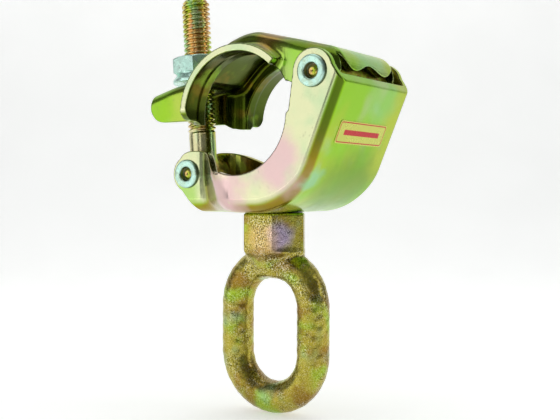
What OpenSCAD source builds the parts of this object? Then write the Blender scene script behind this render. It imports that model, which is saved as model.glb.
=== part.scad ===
// Suspension clamp for round scaffold tube, with a swivelling load eye.
// Origin: the tube's axis, half way across the clamp.  +Y runs along the tube,
// +Z points up, the lid's hinge is on the +X side and the swing bolt on the -X side.

/* [Tube and sheet] */
// Outside diameter of the tube that the clamp grips
tube_d = 48.6; // [38:0.1:62]
// Gap between the tube and its seat
seat_clear = 0.1; // [0.05:0.01:0.15]
// Thickness of the pressed steel sheet
sheet = 3.2; // [2.2:0.1:4]

/* [Clamp body] */
// Width of the body along the tube
body_w = 58.6; // [48:0.1:80]
// Depth of the body's underside below the tube's seat
base_drop = 15; // [13:0.1:22]
// Lean of the back plate from upright, in degrees
back_lean = 22.8; // [14:0.1:30]
// Radius of the bend between underside and back plate
back_bend = 30; // [22:0.5:34]
// Room between the lid's heel and the back plate's top edge
heel_room = 0.1; // [0:0.1:3]
// Drop of the back plate's top edge below the hinge pin
back_drop = 4.1; // [2:0.1:8]
// Radius of the ears around the hinge pin
hinge_ear_r = 8.8; // [8:0.1:10.5]
// Radius of the lugs around the bolt pin
bolt_lug_r = 7.8; // [7:0.1:9]
// Height of the lugs' flat top above the round around the bolt pin
lug_rise = 2; // [0:0.1:4]
// Width across the bolt lugs
bolt_lug_w = 24.2; // [23.4:0.1:32]

/* [Pins] */
// Distance of the hinge pin beyond the tube's seat
hinge_out = 12; // [11.8:0.1:20]
// Height of the hinge pin above the tube's axis
hinge_up = 14.1; // [8:0.1:20]
// Distance of the bolt pin beyond the tube's seat
bolt_out = 13.1; // [12:0.1:20]
// Depth of the bolt pin below the tube's axis
bolt_down = 23.1; // [18:0.1:26]
// Diameter of both rivet pins
pin_d = 9; // [7:0.1:9.6]
// Running clearance around a pin, on the radius
pin_clear = 0.05; // [0.02:0.01:0.09]
// Lip of a rolled rivet head around its pin
head_lip = 1.7; // [1.2:0.1:2.5]
// Height of the rolled rivet heads
head_h = 1.4; // [1:0.1:2.5]
// Diameter of the blind recess in a rivet head
recess_d = 5.8; // [4:0.1:6.4]
// Depth of the blind recess in a rivet head
recess_h = 2.2; // [1:0.1:3]
// Wall of the spacer tube on the hinge pin
spacer_wall = 1.5; // [1:0.1:2.3]

/* [Lid] */
// Inset of the lid's saddle from each side of the body
lid_inset = 1.1; // [0.6:0.1:3]
// Radius of the lid's ears around the hinge pin
ear_r = 8.6; // [7.5:0.1:9]
// Side play that the lid has taken up towards the front
lid_shift = 1; // [0:0.1:1.2]
// Play between each of the lid's ears and the body's wall
ear_play = 1.6; // [1.3:0.1:3]
// Height of the lid's ridge above the hinge pin, square to the ridge
heel_r = 10.8; // [10:0.1:11]
// Slope of the lid's ridge, in degrees
ridge_slope = 14.5; // [10:0.1:18]
// Width of the rib where it crosses the tube
rib_w = 38; // [34:0.1:46]
// Width of the lid's tail
tail_w = 28; // [26.5:0.1:32]
// Reach of the tail beyond the bolt pin
tail_reach = 18.4; // [14:0.1:20]
// Height of the saddle's left foot below the tube's axis
rim_foot_drop = 1.5; // [0:0.1:2.4]
// Rounding of the saddle's feet at the sides of the lid
rim_corner = 5; // [2:0.1:8]
// Play between the bolt's thread and each side of the lid's slot
slot_play = 1.35; // [1:0.05:2]

/* [Swing bolt and nut] */
// Outside diameter of the bolt's thread
thread_d = 12.7; // [10:0.1:12.7]
// How much thinner the plain shank is than the thread
shank_less = 0.9; // [0.2:0.1:2]
// Length of the bolt from its pin to its tip
bolt_len = 77.3; // [70:0.1:95]
// Height above the pin where the thread starts
thread_from = 17.5; // [14:0.1:24]
// Outward lean of the bolt, in degrees
bolt_lean = 3.7; // [3:0.1:5]
// Diameter of the bolt's eye around its pin
bolt_eye_d = 16; // [13:0.1:16.4]
// Distance across the nut's flats
nut_af = 20.4; // [18:0.1:22]
// Height of the nut with its flange
nut_h = 11.4; // [10:0.1:15]
// Diameter of the nut's flange
flange_d = 23.2; // [21:0.1:24]
// Height of the nut's seat above the bolt pin
nut_seat = 40.3; // [40.2:0.1:44]

/* [Load eye] */
// Distance across the flats of the eye's neck
neck_af = 24.8; // [20:0.1:28]
// Height of the hexagonal neck
neck_h = 16.8; // [12:0.1:24]
// Diameter of the round bar that the eye is forged from
bar_d = 13.6; // [10:0.1:16]
// Width of the hole in the eye
hole_w = 24.4; // [20:0.1:34]
// Height of the hole in the eye
hole_h = 43.6; // [36:0.1:60]
// Depth of the hole's top below the body's underside
hole_drop = 27.5; // [25:0.1:36]
// Diameter of the eye's shank through the body
stem_d = 14; // [11:0.1:16]
// Lip of the peened head around the shank
peen_lip = 3; // [2:0.1:4]
// Thickness of the thrust washer under the peened head
washer_h = 2.6; // [1.5:0.1:3]
// Lip of the thrust washer around the peened head
washer_lip = 0.3; // [0:0.1:0.5]

/* [Label] */
// Width of the blank label along the tube
label_w = 37.5; // [16:0.5:44]
// Height of the blank label up the back plate
label_h = 9.4; // [6:0.1:14]
// Thickness of the label
label_t = 0.25; // [0.15:0.05:0.5]
// Height of the label's middle above the foot of the flat back
label_rise = 14; // [10:0.5:20]

/* [Hidden] */
$fn = 96;

run_gap = 0.15;      // flat faces that turn or slide on each other
side_gap = 0.3;      // play beside ears and the bolt's eye
far = 120;           // longer than any cut has to be

seat_r = tube_d / 2 + seat_clear;
half = body_w / 2;
base_z = -seat_r - base_drop;
hinge_x = seat_r + hinge_out;
bolt_x = -seat_r - bolt_out;
pin_r = pin_d / 2;
bore_r = pin_r + pin_clear;
head_d = pin_d + 2 * head_lip;
spacer_d = pin_d + 2 * spacer_wall;
shank_d = thread_d - shank_less;
slot_w = thread_d + 2 * slot_play;
peen_d = stem_d + 2 * peen_lip;
washer_d = peen_d + 2 * washer_lip;
curl_r = spacer_d / 2 + sheet;   // the lid's heel, curled around the spacer
back_reach = curl_r + sheet + heel_room;

// The skin of the body: flat underside, round bend, leaning back plate.
back_x = hinge_x + back_reach;
back_z = hinge_up - back_drop;
bend_z = base_z + back_bend;
bend_x = back_x - (back_bend + sin(back_lean) * (back_z - bend_z)) / cos(back_lean);
function back_point(t, s) =
    [bend_x + (back_bend - t) * cos(back_lean) + s * sin(back_lean),
     bend_z - (back_bend - t) * sin(back_lean) + s * cos(back_lean)];

// The body seen from above: narrow bolt lugs that flare to the full width.
flare_start = bolt_x + 10.1;
flare_end = flare_start + (half - bolt_lug_w / 2) * 0.96;
flare_turn = atan2(half - bolt_lug_w / 2, flare_end - flare_start) / 2;

// The lid's ridge runs down from above the tube to a tangent on the heel.
ridge_up = [sin(ridge_slope), cos(ridge_slope)];
heel_top = [hinge_x, hinge_up] + heel_r * ridge_up;
heel_mid = heel_top - curl_r * ridge_up;
function ridge_z(x) = heel_top[1] + (heel_top[0] - x) * tan(ridge_slope);
tail_x = bolt_x - tail_reach;
nut_z = -bolt_down + nut_seat;
lid_top = [
    [tail_x, nut_z - 5.2],
    [bolt_x - 7.5, nut_z - 2.2],
    [bolt_x + 4.5, nut_z - 0.35],
    [bolt_x + 9.7, nut_z],
    [bolt_x + 14, nut_z + 4.8],
    [bolt_x + 19.5, nut_z + 10],
    [bolt_x + 26, nut_z + 14.1],
    [bolt_x + 32.5, ridge_z(bolt_x + 32.5) - 2.6],
    [bolt_x + 36.5, ridge_z(bolt_x + 36.5) - 1],
    [bolt_x + 40, ridge_z(bolt_x + 40)],
    heel_top
];
tail_floor = -0.7;   // underside of the tail's flanges
rim_foot = -rim_foot_drop;
ear_half = half - sheet - ear_play;
lid_w = body_w - 2 * lid_inset;
spacer_half = ear_half - sheet - 0.2;

// Point lists moved t to the right of their direction, with mitred corners.
function unit(v) = v / norm(v);
function right(v) = [v[1], -v[0]];
function mitre(a, b) = (right(a) + right(b)) / (1 + a * b);
function moved(p, t) = [for (i = [0 : len(p) - 1])
    let (a = unit(i == 0 ? p[1] - p[0] : p[i] - p[i - 1]),
         b = unit(i == len(p) - 1 ? p[i] - p[i - 1] : p[i + 1] - p[i]))
    p[i] + t * mitre(a, b)];

eye_top = base_z - hole_drop;
eye_mid = eye_top - hole_h / 2;
straight = hole_h - hole_w;
cone_foot = 3;       // the neck's cone starts this far above the hole

// The thrust washer lies as low as the bend under its edge lets it.
washer_z = bend_z + 0.07
    - sqrt(pow(back_bend - sheet, 2) - pow(max(0, washer_d / 2 - bend_x), 2));

// A side view, extruded along the tube.
module along_tube(w) {
    rotate([90, 0, 0]) linear_extrude(height = w, center = true) children();
}

module pin_hole(x, z, r) {
    translate([x, 0, z]) rotate([90, 0, 0]) cylinder(r = r, h = far, center = true);
}

// ---- clamp body ----

module skin_side(t) {
    polygon([[-far, base_z + t], [bend_x, base_z + t], back_point(t, 0), back_point(t, far),
             [-far, far]]);
    translate([bend_x, bend_z]) circle(r = back_bend - t);
}

module body_plan(t) {
    narrow = bolt_lug_w / 2 - t;
    wide = half - t;
    shift = t * tan(flare_turn);
    line = [[-far, narrow], [flare_start + shift, narrow], [flare_end + shift, wide], [far, wide]];
    polygon(concat(line, [for (i = [3 : -1 : 0]) [line[i][0], -line[i][1]]]));
}

module body_side() {
    lug_top = -bolt_down + bolt_lug_r + lug_rise;
    lug_back = [bolt_x, -bolt_down] + (bolt_lug_r - 0.6) * [-cos(26), sin(26)];
    lug_foot = [bolt_x - bolt_lug_r * cos(17), -bolt_down - bolt_lug_r * sin(17)];
    ear_edge = [hinge_x + hinge_ear_r * cos(50), hinge_up + hinge_ear_r * sin(50)];
    difference() {
        union() {
            translate([hinge_x, hinge_up]) circle(r = hinge_ear_r);
            translate([bolt_x, -bolt_down]) circle(r = bolt_lug_r);
            polygon([
                [bolt_x, -bolt_down], lug_foot, [bolt_x + 3.7, base_z + 1.2], [bolt_x + 5.2, base_z],
                [back_x, base_z], [back_x, back_z], ear_edge, [hinge_x, hinge_up],
                [hinge_x - hinge_ear_r, hinge_up], [seat_r + 1.2, 0], [seat_r, -1], [0, -seat_r + 1],
                [flare_end + 3.4, -seat_r + 4], [flare_end + 3.4, -seat_r + 0.8],
                [flare_end - 0.3, -seat_r + 1.1], [flare_end - 4.1, -seat_r + 3.9],
                [flare_end - 8.6, lug_top - 3.9],
                [flare_start + 3.1, lug_top - 1.3], [flare_start - 1, lug_top - 0.3],
                [bolt_x + 5, lug_top], [bolt_x + 0.5, lug_top], [bolt_x - 3, lug_top - 1.4], lug_back
            ]);
        }
        circle(r = seat_r, $fn = 180);
    }
}

module clamp_body() {
    color([0.72, 0.80, 0.42]) difference() {
        intersection() {
            along_tube(body_w) intersection() { body_side(); skin_side(0); }
            linear_extrude(height = 2 * far, center = true) body_plan(0);
        }
        intersection() {
            along_tube(body_w) skin_side(sheet);
            linear_extrude(height = 2 * far, center = true) body_plan(sheet);
        }
        pin_hole(hinge_x, hinge_up, bore_r);
        pin_hole(bolt_x, -bolt_down, bore_r);
        translate([0, 0, base_z - 1]) cylinder(d = stem_d + 2 * pin_clear, h = sheet + 2);
    }
}

// ---- lid ----

module lid_side() {
    difference() {
        union() {
            polygon(concat(lid_top, [
                [hinge_x + 2, hinge_up], [hinge_x, hinge_up - ear_r], [seat_r - 2.4, 12], [seat_r - 4, 10],
                [-seat_r + 1, -2.6], [bolt_x + 7, -2.6], [bolt_x + 3.2, tail_floor],
                [tail_x + 5.2, tail_floor], [tail_x + 2.2, 0.6], [tail_x + 0.4, 3.4],
                [tail_x, 6.4]
            ]));
            translate(heel_mid) circle(r = curl_r);
            translate([hinge_x, hinge_up]) circle(r = ear_r);
        }
        circle(r = seat_r, $fn = 180);
    }
}

module lid_hollow_side() {
    inner = moved(lid_top, sheet);
    last = inner[len(inner) - 1];
    polygon(concat([[-far, inner[0][1] - 1]], inner, [[last[0], -far], [-far, -far]]));
    translate(heel_mid) circle(r = curl_r - sheet);
    translate(heel_mid - [0, far]) square([curl_r - sheet, far]);
}

module lid_plan(t) {
    line = moved([
        [-far, tail_w / 2], [bolt_x + 5, tail_w / 2], [bolt_x + 12, rib_w / 2 - 0.6],
        [4, rib_w / 2], [seat_r - 2, ear_half], [far, ear_half]
    ], t);
    polygon(concat(line, [for (i = [len(line) - 1 : -1 : 0]) [line[i][0], -line[i][1]]]));
}

// The saddle's rims, from their left tips over the tube to the hinge side.
module rim_side() {
    difference() {
        circle(r = seat_r + sheet, $fn = 180);
        circle(r = seat_r, $fn = 180);
        polygon([[0, 0], far * [cos(47), sin(47)], [far, -far], [-far, -far],
                 [-far, rim_foot], [-seat_r * 0.9, rim_foot], [-seat_r + 3, 0]]);
    }
}

// The rims' feet, rounded up towards both sides of the lid.
module rim_outline() {
    reach = lid_w / 2 - rim_corner;
    rotate([90, 0, 90]) linear_extrude(height = 2 * far, center = true) {
        for (side = [-1, 1]) translate([side * reach, rim_foot + rim_corner])
            circle(r = rim_corner);
        translate([-reach, rim_foot]) square([2 * reach, far]);
        translate([-lid_w / 2, rim_foot + rim_corner]) square([lid_w, far]);
    }
}

// The heel's lower edge: two rounded teeth and an arched notch between them.
tooth_y = 11.8;
tooth_z = hinge_up + 0.9;
function edge_z(y) = abs(y) < tooth_y ? tooth_z + 3 * pow(cos(90 * y / tooth_y), 2)
    : tooth_z + 10 * pow((abs(y) - tooth_y) / 12, 2);
module heel_cut() {
    inner = ear_half - sheet;
    translate([hinge_x + 4, 0, 0]) rotate([90, 0, 90]) linear_extrude(height = far)
        polygon(concat([[-inner, -far], [inner, -far]],
                       [for (k = [16 : -1 : -16]) [inner * k / 16, edge_z(inner * k / 16)]]));
}

module clamp_lid() {
    color([0.50, 0.75, 0.22]) translate([0, -lid_shift, 0]) difference() {
        union() {
            intersection() {
                along_tube(body_w) lid_side();
                linear_extrude(height = 2 * far, center = true) lid_plan(0);
            }
            intersection() { along_tube(lid_w) rim_side(); rim_outline(); }
        }
        intersection() {
            along_tube(body_w) lid_hollow_side();
            linear_extrude(height = 2 * far, center = true) lid_plan(sheet);
        }
        heel_cut();
        pin_hole(hinge_x, hinge_up, bore_r);
        slot_end = bolt_x + 5.6 - slot_w / 2;
        translate([slot_end, 0, 0]) cylinder(d = slot_w, h = nut_z + 4);
        translate([slot_end - far, -slot_w / 2, -far / 2]) cube([far, slot_w, far]);
    }
}

// ---- rivets and spacer ----

module rivet(reach) {
    rotate([90, 0, 0]) difference() {
        rotate_extrude() polygon([
            [0, -reach - head_h], [head_d / 2 - 1.2, -reach - head_h], [head_d / 2 - 0.3, -reach - head_h + 0.4],
            [head_d / 2, -reach - run_gap / 3], [pin_r, -reach - run_gap / 3],
            [pin_r, reach + run_gap / 3], [head_d / 2, reach + run_gap / 3],
            [head_d / 2 - 0.3, reach + head_h - 0.4], [head_d / 2 - 1.2, reach + head_h], [0, reach + head_h]
        ]);
        for (side = [-1, 1]) translate([0, 0, side * (reach + head_h)])
            cylinder(d = recess_d, h = 2 * recess_h, center = true);
    }
}

module hinge_rivet() {
    color([0.62, 0.70, 0.72]) translate([hinge_x, 0, hinge_up]) rivet(half);
}

module bolt_rivet() {
    color([0.62, 0.70, 0.72]) translate([bolt_x, 0, -bolt_down]) rivet(bolt_lug_w / 2);
}

module hinge_spacer() {
    color([0.55, 0.50, 0.25]) translate([hinge_x, -lid_shift, hinge_up]) rotate([90, 0, 0])
        difference() {
            cylinder(d = spacer_d, h = 2 * spacer_half, center = true);
            cylinder(r = bore_r, h = far, center = true);
        }
}

// ---- swing bolt and nut, drawn upright on the bolt pin ----

module on_bolt() {
    translate([bolt_x, 0, -bolt_down]) rotate([0, -bolt_lean, 0]) children();
}

module swing_bolt() {
    eye_half = bolt_lug_w / 2 - sheet - side_gap;
    color([0.75, 0.62, 0.30]) on_bolt() difference() {
        union() {
            rotate([90, 0, 0]) cylinder(d = bolt_eye_d, h = 2 * eye_half, center = true);
            cylinder(d = shank_d, h = thread_from);
            translate([0, 0, thread_from - 1]) rotate_extrude() polygon([
                [0, 0], [shank_d / 2, 0], [thread_d / 2, 1], [thread_d / 2, bolt_len - thread_from],
                [thread_d / 2 - 1, bolt_len - thread_from + 1], [0, bolt_len - thread_from + 1]]);
        }
        rotate([90, 0, 0]) cylinder(r = bore_r, h = far, center = true);
    }
}

module flange_nut() {
    flange_h = 1.3;
    cone_h = 4.6;
    nut_turn = 55.6;
    color([0.66, 0.80, 0.84]) on_bolt() translate([0, 0, nut_seat]) difference() {
        union() {
            rotate_extrude() polygon([[0, 0], [flange_d / 2, 0], [flange_d / 2, flange_h],
                                      [nut_af / 2, cone_h], [0, cone_h]]);
            rotate(nut_turn) intersection() {
                cylinder(d = nut_af / cos(30), h = nut_h, $fn = 6);
                rotate_extrude() polygon([[0, 0], [nut_af, 0], [nut_af / cos(30) / 2, nut_h - 1],
                                          [nut_af / 2 - 0.4, nut_h], [0, nut_h]]);
            }
        }
        translate([0, 0, -1]) cylinder(d = thread_d + 2 * pin_clear, h = nut_h + 2);
    }
}

// ---- load eye ----

module half_ring() {
    rotate([90, 0, 0]) rotate_extrude(angle = 180)
        translate([(hole_w + bar_d) / 2, 0]) circle(d = bar_d);
}

module swivel_eye() {
    head_z = washer_z + washer_h + run_gap;
    peen_h = -seat_r - 0.5 - head_z;
    color([0.52, 0.45, 0.28]) union() {
        translate([0, 0, eye_mid + straight / 2]) half_ring();
        translate([0, 0, eye_mid - straight / 2]) mirror([0, 0, 1]) half_ring();
        for (side = [-1, 1]) translate([side * (hole_w + bar_d) / 2, 0, eye_mid - straight / 2])
            cylinder(d = bar_d, h = straight);
        translate([0, 0, base_z - run_gap - neck_h])
            cylinder(d = neck_af / cos(30), h = neck_h, $fn = 6);
        translate([0, 0, eye_top + cone_foot])
            cylinder(d1 = bar_d, d2 = neck_af, h = hole_drop - neck_h - cone_foot + run_gap);
        translate([0, 0, base_z - 1]) cylinder(d = stem_d, h = head_z - base_z + 1.5);
        translate([0, 0, head_z]) rotate_extrude() polygon([
            [0, 0], [peen_d / 2, 0], [peen_d / 2, peen_h - 2.4], [peen_d / 2 - 2.4, peen_h - 0.5],
            [peen_d / 2 - 5, peen_h], [0, peen_h]]);
    }
}

module thrust_washer() {
    color([0.70, 0.62, 0.35]) translate([0, 0, washer_z]) difference() {
        cylinder(d = washer_d, h = washer_h);
        translate([0, 0, -1]) cylinder(d = stem_d + 2 * pin_clear, h = washer_h + 2);
    }
}

// ---- blank label on the back plate ----

module blank_label() {
    centre = back_point(-0.01, label_rise);
    corner = 1.2;
    color([0.80, 0.82, 0.45]) translate([centre[0], 0, centre[1]]) rotate([0, 90 + back_lean, 0])
        linear_extrude(height = label_t) {
            square([label_h - 2 * corner, label_w], center = true);
            square([label_h, label_w - 2 * corner], center = true);
            for (i = [-1, 1], j = [-1, 1])
                translate([i * (label_h / 2 - corner), j * (label_w / 2 - corner)]) circle(r = corner);
        }
}

clamp_body();
clamp_lid();
hinge_rivet();
hinge_spacer();
bolt_rivet();
swing_bolt();
flange_nut();
swivel_eye();
thrust_washer();
blank_label();
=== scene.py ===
import math

import bpy
import numpy as np
from bpy.props import FloatProperty, FloatVectorProperty, PointerProperty
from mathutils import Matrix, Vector


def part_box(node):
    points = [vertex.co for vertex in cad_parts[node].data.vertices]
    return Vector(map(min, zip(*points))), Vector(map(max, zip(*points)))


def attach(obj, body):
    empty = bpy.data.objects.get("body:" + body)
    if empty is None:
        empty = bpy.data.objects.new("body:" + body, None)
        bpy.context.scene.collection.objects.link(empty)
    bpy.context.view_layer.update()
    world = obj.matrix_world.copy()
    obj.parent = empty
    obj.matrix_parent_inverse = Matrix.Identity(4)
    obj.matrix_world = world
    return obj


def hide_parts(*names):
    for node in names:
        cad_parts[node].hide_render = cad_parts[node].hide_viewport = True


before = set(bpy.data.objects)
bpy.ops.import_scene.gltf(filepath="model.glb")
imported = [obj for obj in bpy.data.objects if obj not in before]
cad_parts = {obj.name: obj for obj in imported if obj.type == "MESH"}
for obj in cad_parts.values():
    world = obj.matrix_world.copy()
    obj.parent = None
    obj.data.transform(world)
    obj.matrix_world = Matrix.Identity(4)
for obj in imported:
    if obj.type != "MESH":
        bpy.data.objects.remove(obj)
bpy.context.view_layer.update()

bl_info = {
    "name": "Tube Suspension Clamp",
    "version": (1, 0, 0),
    "blender": (4, 5, 0),
    "location": "3D View > Sidebar > Clamp",
    "description": "Builds the finished pieces of a hinged tube clamp with a swivelling load eye",
    "category": "Add Mesh",
}

MM = 0.001
GRID = 0.5      # mm between the points that a skin is built on


def box_mm(node):
    """Lowest and highest corner of a solid, in mm."""
    low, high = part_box(node)
    return [c / MM for c in low], [c / MM for c in high]


BODY_LOW, BODY_HIGH = box_mm("clamp_body")
LID_LOW, LID_HIGH = box_mm("clamp_lid")
EYE_LOW, EYE_HIGH = box_mm("swivel_eye")
WASHER_LOW, WASHER_HIGH = box_mm("thrust_washer")
SPACER_LOW, SPACER_HIGH = box_mm("hinge_spacer")


# ---- properties -------------------------------------------------------------

def length(name, description, default):
    return FloatProperty(name=name, description=description, default=default * MM,
                         min=0.0, precision=5, unit="LENGTH", subtype="DISTANCE")


def linear(shade):
    """A colour as a paint chart gives it, 0 to 255, in the linear values that shaders use."""
    return tuple(((c / 255 + 0.055) / 1.055) ** 2.4 if c > 10 else c / 3294.6 for c in shade)


def finish(name, description, shade):
    return FloatVectorProperty(name=name, description=description, default=linear(shade),
                               size=3, min=0.0, max=1.0, subtype="COLOR")


class ClampSizes(bpy.types.PropertyGroup):
    """Sizes of the clamp's pieces."""
    seat_r: length("Seat radius", "Radius of the round seat for the tube", 24.4)
    sheet: length("Sheet", "Thickness of the pressed sheet", 3.2)
    body_fold: length("Body fold", "Outside radius of the folds between plate and walls", 4.4)
    lid_fold: length("Lid fold", "Outside radius of the folds along the lid's rib", 6.0)
    cut_edge: length("Cut edge", "Rounding of the sheared edges", 0.55)
    pin_r: length("Pin radius", "Radius of both rivet pins", 4.5)
    head_r: length("Rivet head radius", "Radius of a rolled rivet head", 6.2)
    recess_r: length("Rivet recess radius", "Radius of the recess in a rivet head", 2.9)
    thread_r: length("Thread radius", "Outside radius of the bolt's thread", 6.35)
    thread_pitch: length("Thread pitch", "Rise of the thread in one turn", 2.117)
    thread_depth: length("Thread depth", "Depth of the thread's groove", 1.2)
    nut_h: length("Nut height", "Height of the nut with its flange", 11.4)
    nut_flats: length("Nut flats", "Distance across the nut's flats", 20.4)
    bar_r: length("Eye bar radius", "Radius of the bar that the eye is forged from", 6.8)
    neck_flats: length("Neck flats", "Distance across the flats of the eye's neck", 24.8)


class ClampFinishes(bpy.types.PropertyGroup):
    """Colours of the clamp's finishes."""
    lime: finish("Lime", "Green end of the yellow chromate", (146, 200, 40))
    gold: finish("Gold", "Gold end of the yellow chromate", (178, 196, 56))
    # Cream is a painted reflection on the sideways walls and a painted highlight on the bolt's shank;
    # on rubbed edges it is the real worn colour.
    cream: finish("Cream", "Pale chromate on the flat walls", (222, 224, 178))
    blush: finish("Blush", "Pink bloom in the chromate", (224, 188, 190))
    mint: finish("Mint", "Blue-green bloom in the chromate", (150, 208, 158))
    # This darker green is painted shade on the lower bend.
    lower_bend_shade: finish("Moss", "Darker green on the lower bend", (100, 146, 44))
    # This dark green-brown is painted shade along the folds.
    shade: finish("Shade", "Dark green-brown chromate along the folds", (66, 74, 26))
    # Amber is real orange-brown chromate on the bolt, the eye and the turned parts; along the low folds
    # and on the inner side it is part of the painted shade.
    amber: finish("Amber", "Orange-brown chromate in folds", (150, 110, 36))
    # Both inner colours are painted shade on the sheet's inner side.
    inner_gold_shade: finish("Inner gold", "Tan chromate inside the body", (176, 150, 76))
    inner_olive_shade: finish("Inner olive", "Dark chromate inside the lid", (62, 74, 10))
    zinc: finish("Zinc", "Bare blue-white zinc of nut and rivets", (200, 240, 226))
    thread: finish("Thread", "Gold chromate on the bolt", (230, 190, 122))
    forged: finish("Forged", "Dark chromate over the forged eye", (186, 172, 66))
    plum: finish("Plum", "Purple-grey bloom on the forged eye", (206, 184, 222))
    label: finish("Label", "Ground colour of the blank label", (206, 212, 92))
    stripe: finish("Stripe", "Border colour of the blank label", (196, 34, 36))


# ---- shaping: distances in mm, negative inside the metal ---------------------

def fold(a, b, r):
    """Where two faces meet outwards, with a rounded corner of radius r."""
    return (np.minimum(np.maximum(a, b), -r)
            + np.sqrt(np.maximum(a + r, 0) ** 2 + np.maximum(b + r, 0) ** 2))


def weld(a, b, r):
    """Two shapes joined, with a hollow fillet of radius r."""
    return (np.maximum(np.minimum(a, b), r)
            - np.sqrt(np.maximum(r - a, 0) ** 2 + np.maximum(r - b, 0) ** 2))


def outline(points):
    """Distance to a closed flat outline."""
    pts = [np.array(p, float) for p in points]

    def distance(u, v):
        shape = np.broadcast(u, v).shape
        near = np.full(shape, 1e9)
        side = np.ones(shape)
        for a, b in zip(pts, pts[1:] + pts[:1]):
            e, du, dv = b - a, u - a[0], v - a[1]
            t = np.clip((du * e[0] + dv * e[1]) / max(e @ e, 1e-12), 0, 1)
            near = np.minimum(near, (du - e[0] * t) ** 2 + (dv - e[1] * t) ** 2)
            above, below = v >= a[1], v < b[1]
            left = e[0] * dv > e[1] * du
            side = np.where((above & below & left) | (~above & ~below & ~left), -side, side)
        return side * np.sqrt(near)
    return distance


def eased(points, r, steps=6):
    """The same open line, with each corner turned into a curve that starts r before it."""
    line = [points[0]]
    for before, at, after in zip(points, points[1:], points[2:]):
        before, at, after = (np.array(p, float) for p in (before, at, after))
        back, on = before - at, after - at
        start = at + back * min(r / np.hypot(*back), 0.48)
        end = at + on * min(r / np.hypot(*on), 0.48)
        for t in np.linspace(0, 1, steps):
            line.append(tuple((1 - t) ** 2 * start + 2 * t * (1 - t) * at + t * t * end))
    return line + [points[-1]]


def arc(x, z, r, first, last, steps=10):
    """Points on an arc, between two angles in degrees."""
    return [(x + r * math.cos(math.radians(a)), z + r * math.sin(math.radians(a)))
            for a in np.linspace(first, last, steps)]


def slope(field, p, h=0.04):
    """Direction in which a field grows, at points p."""
    out = np.empty_like(p)
    for axis in range(3):
        step = np.zeros(3)
        step[axis] = h
        out[:, axis] = (field(*(p + step).T) - field(*(p - step).T)) / (2 * h)
    return out


def skin(field, low, high, cell):
    """Points and four-sided faces on the surface where a field passes zero."""
    low, high = np.array(low, float) - 1.5 * cell, np.array(high, float) + 1.5 * cell
    count = np.ceil((high - low) / cell).astype(int) + 1
    x, y, z = (low[i] + cell * np.arange(count[i]) for i in range(3))
    v = np.broadcast_to(field(x[:, None, None], y[None, :, None], z[None, None, :]),
                        tuple(count)).astype(np.float32)
    inside = v < 0
    corners = [(i, j, k) for i in (0, 1) for j in (0, 1) for k in (0, 1)]
    total = sum(inside[i:count[0] - 1 + i, j:count[1] - 1 + j, k:count[2] - 1 + k].astype(np.int8)
                for i, j, k in corners)
    mixed = (total > 0) & (total < 8)
    cells = np.argwhere(mixed)
    index = np.full(mixed.shape, -1, np.int64)
    index[mixed] = np.arange(len(cells))
    places, hits = np.zeros((len(cells), 3)), np.zeros(len(cells))
    for axis in range(3):
        for a in corners:
            if a[axis]:
                continue
            b = list(a)
            b[axis] = 1
            va, vb = (v[tuple((cells + np.array(c)).T)] for c in (a, b))
            cross = (va < 0) != (vb < 0)
            t = np.where(cross, va / np.where(cross, va - vb, 1), 0)
            spot = np.tile(np.array(a, float), (len(cells), 1))
            spot[:, axis] = t
            places[cross] += spot[cross]
            hits += cross
    points = low + cell * (cells + places / hits[:, None])
    faces = []
    for axis in range(3):
        u, w = (axis + 1) % 3, (axis + 2) % 3
        here = [slice(1, -1)] * 3
        here[axis] = slice(0, -1)
        there = list(here)
        there[axis] = slice(1, None)
        first, second = inside[tuple(here)], inside[tuple(there)]
        spots = np.argwhere(first != second)
        spots[:, u] += 1
        spots[:, w] += 1
        out = first[first != second]
        ring = []
        for du, dw in ((-1, -1), (0, -1), (0, 0), (-1, 0)):
            q = spots.copy()
            q[:, u] += du
            q[:, w] += dw
            ring.append(index[tuple(q.T)])
        quad = np.stack(ring, 1)
        quad[~out] = quad[~out][:, ::-1]
        faces.append(quad)
    for _ in range(2):
        g = slope(field, points)
        size = np.maximum((g * g).sum(1), 0.25)
        points -= g * np.clip(field(*points.T) / size, -cell / 2, cell / 2)[:, None]
    normals = slope(field, points, 0.08)
    return points, np.concatenate(faces), normals / np.linalg.norm(normals, axis=1)[:, None]


def turned(profile, turns=96):
    """Points and faces of a closed profile (radius, height) turned about Z."""
    profile = np.array(profile, float)
    n = len(profile)
    a = np.linspace(0, 2 * math.pi, turns, endpoint=False)
    points = np.stack([np.outer(np.cos(a), profile[:, 0]), np.outer(np.sin(a), profile[:, 0]),
                       np.tile(profile[:, 1], (turns, 1))], 2).reshape(-1, 3)
    faces = [(i * n + k, (i + 1) % turns * n + k,
              (i + 1) % turns * n + (k + 1) % n, i * n + (k + 1) % n)
             for i in range(turns) for k in range(n)]
    return points, np.array(faces)


def piece(name, points, faces, material, body, nodes, normals=None):
    """One finished piece: mesh, material, the body it rides on and the solid it stands for."""
    mesh = bpy.data.meshes.new(name)
    mesh.from_pydata((np.asarray(points) * MM).tolist(), [], [tuple(f) for f in faces])
    mesh.validate()
    mesh.shade_smooth()
    if normals is not None and len(mesh.vertices) == len(normals):
        mesh.normals_split_custom_set_from_vertices(np.asarray(normals).tolist())
    mesh.materials.append(material)
    obj = bpy.data.objects.new(name, mesh)
    bpy.context.scene.collection.objects.link(obj)
    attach(obj, body)
    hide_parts(*nodes)
    return obj


# ---- finishes ----------------------------------------------------------------

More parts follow.
